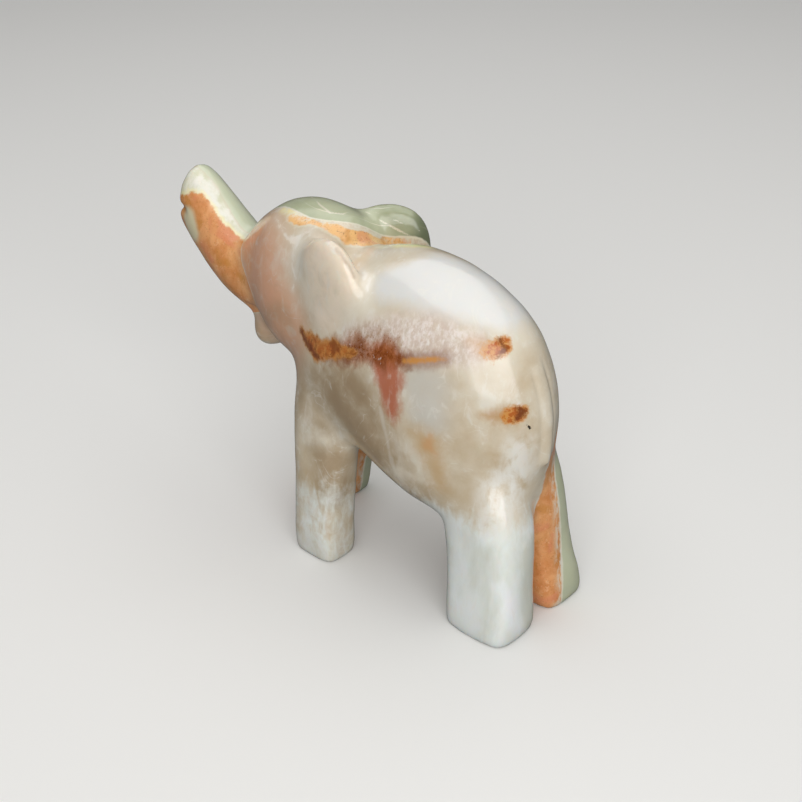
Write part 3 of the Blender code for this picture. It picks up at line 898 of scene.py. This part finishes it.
colour = blend(scaled(kept("crystals"), step(curd, 0.35, -0.15)), colour, CRYSTAL_SHADE)
needles = grain(0.9, 4.0, 0.7, where=upright)
frost = math_of("MULTIPLY_ADD", needles, 1.2, math_of("MULTIPLY_ADD", flake, 0.8, scaled(curd, 0.6)))
colour = blend(scaled(step(frost, -0.16, 0.26), scaled(kept("crystals"), 0.9)), colour, CRYSTAL)
print("nodes with the veins:", len(recipe.nodes))

# %% [markdown]
# ## Iron stains
# Iron creeps in along cracks, so a stain has a sharp side at the crack, a blurred side where it soaked
# away, and grains of dark rust inside. Every stain below is its kept distance, frayed by noise, cut at
# one level for the halo and at a deeper one for the heart.

# %% Stain along the crack
PALE_ORANGE = rgb(206, 176, 132)
HEART_ORANGE = rgb(216, 164, 110)
RED_BROWN = rgb(188, 101, 66)
HAZE_BROWN = rgb(168, 122, 82)
BROWN = rgb(138, 70, 14)
VEIN_ORANGE = rgb(188, 106, 38)
GOLDEN = rgb(214, 152, 74)
DARK_RUST = rgb(122, 58, 12)

patch = ragged("pale_patch", (curd, 5.0), (speck, 1.0))
colour = blend(scaled(step(patch, 2.4, -3.6), 0.8), colour, PALE_ORANGE)
heart = ragged("patch_heart", (curd, 2.0), (speck, 1.5))
colour = blend(scaled(step(heart, 1.2, -1.4), 0.6), colour, HEART_ORANGE)
drip = ragged("red_drip", (curd, 3.0), (flake, 3.0), (speck, 1.2))
colour = blend(scaled(step(drip, 1.6, -2.2), 0.88), colour, RED_BROWN)
colour = blend(scaled(scaled(step(drip, 1.0, -1.5), step(flake, 0.02, 0.16)), 0.35), colour, CRYSTAL_SHADE)
vein = ragged("vein", (curd, 5.0), (flake, 4.0), (speck, 2.0))
haze = ragged("vein_cloud", (curd, 5.0), (flake, 4.0), (needles, 3.0))
colour = blend(scaled(step(haze, 1.5, -3.0), 0.55), colour, HAZE_BROWN)
colour = blend(scaled(step(haze, 0.5, -2.5), step(dust, 0.06, 0.18)), colour, BROWN)
soaked = blend(step(flake, -0.12, 0.16), BROWN, VEIN_ORANGE)
colour = blend(scaled(step(vein, 2.4, -1.8), 0.8), colour, soaked)
colour = blend(scaled(step(vein, 0.6, -2.2), step(speck, -0.04, 0.10)), colour, BROWN)
colour = blend(scaled(step(vein, -0.2, -2.2), step(dust, 0.02, 0.16)), colour, DARK_RUST)
colour = blend(scaled(step(vein, 0.8, -1.0), step(needles, 0.12, 0.22)), colour, CRYSTAL_SHADE)
line = ragged("gold_line", (curd, 1.8), (speck, 1.0))
colour = blend(scaled(step(line, 2.6, 0.2), 0.5), colour, BROWN)
colour = blend(scaled(step(line, 0.5, -0.5), 0.9), colour, GOLDEN)
print("nodes with the vein:", len(recipe.nodes))

# %% [markdown]
# ## Spots and a wedge
# Two rust spots sit on the hip, each with a golden tail towards the head and a dark rim on the other
# side, and a golden wedge starts the vein at the shoulder. They are built like the vein, from the halo
# inwards. The fleck beside the lower spot is a single speck of something black.

# %% Stain the spots and the wedge
TAIL_GOLD = rgb(188, 132, 40)
RUST = rgb(190, 102, 32)
BLACK = rgb(48, 42, 34)

tails = ragged("spot_tails", (curd, 3.0), (speck, 1.0))
colour = blend(scaled(step(tails, 1.8, -2.0), 0.7), colour, TAIL_GOLD)
spots = ragged("spots", (curd, 4.0), (speck, 2.6), (dust, 1.0))
colour = blend(scaled(step(spots, 0.9, -0.3), 0.8), colour, GOLDEN)
colour = blend(step(spots, 0.0, -0.9), colour, blend(step(speck, -0.06, 0.1), RUST, GOLDEN))
colour = blend(scaled(step(spots, 0.6, -0.4), step(dust, 0.14, 0.22)), colour, PALE_ORANGE)
wedge = ragged("wedge", (curd, 3.6), (blotch, 2.0), (speck, 1.4), (dust, 0.6))
colour = blend(scaled(step(wedge, 0.9, -0.7), 0.85), colour, GOLDEN)
rusty = blend(step(pale_grain, -0.1, 0.2), RUST, GOLDEN)
colour = blend(scaled(step(wedge, 0.3, -1.6), 0.9), colour, rusty)
colour = blend(scaled(scaled(step(wedge, 0.6, -0.8), step(blotch, 0.02, -0.16)), 0.75), colour, BROWN)
colour = blend(scaled(step(wedge, 0.2, -0.8), step(dust, 0.10, 0.2)), colour, DARK_RUST)
dark_edges = ragged("dark_edges", (curd, 1.6), (speck, 2.2), (dust, 1.0))
colour = blend(scaled(step(dark_edges, 0.7, -0.5), 0.85), colour, DARK_RUST)
colour = blend(step(kept("fleck"), 0.12, -0.05), colour, BLACK)
print("nodes with the spots:", len(recipe.nodes))

# %% [markdown]
# ## Orange
# The orange layer is grainy: it drifts between amber and pink over a few millimetres, with peach and gold
# grains and rust pepper in it, and it is lightest on top of the head. On the trunk it meets a cloudy
# white band along a ragged edge with a thin yellow rim. The order matters: band, rim, orange, and last
# the pale patch under the trunk's mouth.

# %% Lay in the orange
ORANGE = rgb(236, 176, 120)
DEEP_ORANGE = rgb(214, 141, 80)
GOLD = rgb(246, 202, 136)
GOLD_GRAIN = rgb(240, 206, 158)
PEPPER = rgb(158, 98, 46)
PEACH = rgb(246, 204, 160)
AMBER = rgb(204, 138, 60)
PINK_ORANGE = rgb(226, 146, 108)
CREAM = rgb(234, 229, 210)
TRUNK_CLEAR = rgb(218, 217, 190)
TRUNK_MILK = rgb(240, 238, 226)
CHIN_PALE = rgb(226, 217, 184)

orange = blend(step(math_of("MULTIPLY_ADD", flake, 0.5, curd), -0.22, 0.24), DEEP_ORANGE, ORANGE)
orange = blend(scaled(kept("golden"), 0.85), orange, GOLD)
drift = grain(7.0, 2.0, 0.5, stretch=0.6)
orange = blend(scaled(step(drift, 0.04, 0.2), 0.6), orange, AMBER)
orange = blend(scaled(step(drift, -0.04, -0.2), 0.6), orange, PINK_ORANGE)
orange = blend(scaled(step(pale_grain, 0.08, 0.26), 0.65), orange, PEACH)
orange = blend(scaled(step(speck, 0.10, 0.26), 0.6), orange, GOLD_GRAIN)
pepper = math_of("MULTIPLY_ADD", kept("golden"), 0.45, 0.4)
orange = blend(scaled(step(dust, 0.06, 0.2), pepper), orange, PEPPER)
cloudiness = step(math_of("MULTIPLY_ADD", flake, 0.6, curd), -0.16, 0.16)
trunk_white = blend(cloudiness, TRUNK_CLEAR, TRUNK_MILK)
colour = blend(scaled(kept("trunk_white"), step(kept("green_edge"), -0.5, 1.0)), colour, trunk_white)
orange_edge = ragged("orange", (cloud, 4.0), (curd, 3.0), (flake, 1.4), (speck, 1.0))
yellow_rim = scaled(step(orange_edge, 1.6, 0.3), kept("trunk_white"))
colour = blend(scaled(yellow_rim, 0.55), colour, YELLOW_WHITE)
lens_rim = scaled(step(orange_edge, 1.0, 0.3), kept("golden"))
colour = blend(scaled(lens_rim, 0.5), colour, CREAM)
colour = blend(step(orange_edge, 0.45, -0.35), colour, orange)
colour = blend(step(ragged("trunk_chin", (curd, 2.0)), 1.0, -1.2), colour, CHIN_PALE)
print("nodes with the orange:", len(recipe.nodes))

# %% [markdown]
# ## Green
# The green beyond the orange is clearer and almost even, crossed by thin cream lines, each one a pause
# while the stone grew. They follow the folded sheet, so a line is a repeating step of the distance to it.
# Cream frost spreads over the orange along the edge where green begins, and a cream line marks the edge
# itself.

# %% Lay in the green
PALE_GREEN = rgb(202, 206, 174)
DEEP_GREEN = rgb(176, 182, 150)
# The green in painted shade, for the far ear's rim.
SHADE_GREEN = rgb(112, 120, 92)
TIP_GREEN = rgb(226, 230, 205)
LINES_PER_MM = 0.12

layer = ragged("green_edge", (curd, 1.2), (speck, 0.4))
spiky = step(math_of("MULTIPLY_ADD", needles, 0.8, flake), -0.10, 0.14)
layer_frost = scaled(step(layer, 3.4, 0.8), spiky)
colour = blend(scaled(scaled(layer_frost, without(kept("trunk_white"), 1.0)), 0.75), colour, CREAM)
green = blend(step(clouds, -0.35, 0.35), DEEP_GREEN, PALE_GREEN)
green = blend(scaled(kept("trunk_white"), 0.65), green, TIP_GREEN)
green = blend(scaled(kept("cool"), 0.4), green, TIP_GREEN)
# Painted shade: the far ear's rim and part of the ear are darkened.
green = blend(scaled(kept("painted_shade_far_ear"), 0.9), green, SHADE_GREEN)
growth = math_of("ABSOLUTE", math_of("SUBTRACT", math_of("FRACT", scaled(layer, LINES_PER_MM)), 0.5))
green = blend(scaled(step(growth, 0.03, 0.0), step(cloud, -0.1, 0.2)), green, CREAM)
green = blend(scaled(step(ragged("cream_line", (curd, 0.5)), 0.24, 0.0), 0.8), green, CREAM)
cream_rim = scaled(step(layer, -0.6, -0.1), without(kept("trunk_white"), 0.8))
colour = blend(step(layer, 0.5, -0.1), colour, blend(cream_rim, green, CREAM))
print("nodes with the green:", len(recipe.nodes))

# %% [markdown]
# ## Polish
# The stone is polished and waxed: a clear reflection, slightly broken by hand work. Roughness rises in
# the grainy orange, which doesn't take a shine. The bump is small, from grains that the eye sees only in
# the edge of a highlight. The wax is a thin coat over the stone. Light that wanders inside the stone
# makes it look milky; it fades out towards the cuts, because there it would find the hidden inner faces
# and draw the seams.

# %% Finish the stone
POLISH = 0.15
ORANGE_DULLNESS = 0.10
SPECKLED_POLISH = 0.12
TOOTH_STRENGTH = 0.12
TOOTH_DEPTH = 0.25 * MM
STONE_IOR = 1.6
GLOW = 0.7
GLOW_BY_COLOUR = (1.0, 0.8, 0.65)
GLOW_REACH = 2.2 * MM
WAX = 0.3
WAX_ROUGHNESS = 0.06

dull = math_of("MULTIPLY_ADD", step(orange_edge, 0.3, -0.5), ORANGE_DULLNESS, POLISH)
roughness = math_of("MULTIPLY_ADD", speck, SPECKLED_POLISH, dull)
tooth = math_of("MULTIPLY_ADD", dust, 0.35, math_of("MULTIPLY_ADD", curd, 0.5, speck))
bump = add("Bump", {"Height": tooth, "Strength": TOOTH_STRENGTH, "Distance": TOOTH_DEPTH})
surface = add("BsdfPrincipled", {
    "Base Color": colour,
    "Roughness": roughness,
    "Normal": bump.outputs["Normal"],
    "IOR": STONE_IOR,
    "Subsurface Weight": scaled(kept("inside"), GLOW),
    "Subsurface Radius": GLOW_BY_COLOUR,
    "Subsurface Scale": GLOW_REACH,
    "Coat Weight": WAX,
    "Coat Roughness": WAX_ROUGHNESS,
})
recipe.links.new(surface.outputs[0], add("OutputMaterial").inputs["Surface"])
for piece in pieces.values():
    piece.data.materials.append(stone)
print("nodes in the stone:", len(recipe.nodes))

# %% [markdown]
# ## Table and light
# The figure stands on a pale table in a soft light tent. One large panel overhead makes the broad shine
# along the back, one behind the camera fills the hip and the legs, and a dim white surround keeps the
# shaded side readable. The panels are as plain as possible, so that a colour renders about as it was
# written. The table is pale to the camera but greyer to the light that bounces off it, so it doesn't
# light the belly from below.

# %% Set the table
TABLE_SIDE = 6.0
TABLE_ROUGHNESS = 0.8
TABLE_SEEN = rgb(244, 243, 240)
TABLE_BOUNCING = rgb(120, 118, 114)

table_mesh = bpy.data.meshes.new("table_top")
half = TABLE_SIDE / 2
table_corners = [(-half, -half, 0), (half, -half, 0), (half, half, 0), (-half, half, 0)]
table_mesh.from_pydata(table_corners, [], [(0, 1, 2, 3)])
table_top = bpy.data.objects.new("table_top", table_mesh)
bpy.context.scene.collection.objects.link(table_top)
pale = bpy.data.materials.new("pale_table")
pale.use_nodes = True
pale_tree = pale.node_tree
pale_surface = pale_tree.nodes["Principled BSDF"]
pale_surface.inputs["Roughness"].default_value = TABLE_ROUGHNESS
light_path = pale_tree.nodes.new("ShaderNodeLightPath")
tone = pale_tree.nodes.new("ShaderNodeMix")
tone.data_type = "RGBA"
tone.inputs[6].default_value = TABLE_BOUNCING
tone.inputs[7].default_value = TABLE_SEEN
pale_tree.links.new(light_path.outputs["Is Camera Ray"], tone.inputs[0])
pale_tree.links.new(tone.outputs[2], pale_surface.inputs["Base Color"])
table_mesh.materials.append(pale)
print("table side in m:", TABLE_SIDE)

# %% [markdown]
# ## Lamps
# Area lamps give the long soft highlights that show a polish. Each one looks at the middle of the figure.
# Their watts are low enough for the white back to keep its tone.

# %% Hang the panels
OVERHEAD_PLACE = (-40, -40, 620)
OVERHEAD_SIDE = 900
OVERHEAD_WATTS = 2.85
BEHIND_CAMERA_PLACE = (480, 520, 270)
BEHIND_CAMERA_SIDE = 760
BEHIND_CAMERA_WATTS = 4.9
SURROUND_STRENGTH = 0.18
WHITE_LIGHT = (1, 1, 1, 1)


def panel(name, place_mm, side_mm, watts):
    """A square lamp that looks at the figure."""
    lamp = bpy.data.lights.new(name, "AREA")
    lamp.size = side_mm * MM
    lamp.energy = watts
    made = bpy.data.objects.new(name, lamp)
    made.location = Vector(place_mm) * MM
    made.rotation_euler = (AIM - made.location).to_track_quat("-Z", "Y").to_euler()
    bpy.context.scene.collection.objects.link(made)
    return made


lamps = [panel("panel_overhead", OVERHEAD_PLACE, OVERHEAD_SIDE, OVERHEAD_WATTS),
         panel("panel_behind_camera", BEHIND_CAMERA_PLACE, BEHIND_CAMERA_SIDE, BEHIND_CAMERA_WATTS)]
surround = bpy.data.worlds.new("grey_surround")
surround.use_nodes = True
sky = surround.node_tree.nodes["Background"]
sky.inputs["Color"].default_value = WHITE_LIGHT
sky.inputs["Strength"].default_value = SURROUND_STRENGTH
bpy.context.scene.world = surround
bpy.context.scene.view_settings.view_transform = "Standard"
print("lamps:", ", ".join(lamp.name for lamp in lamps))
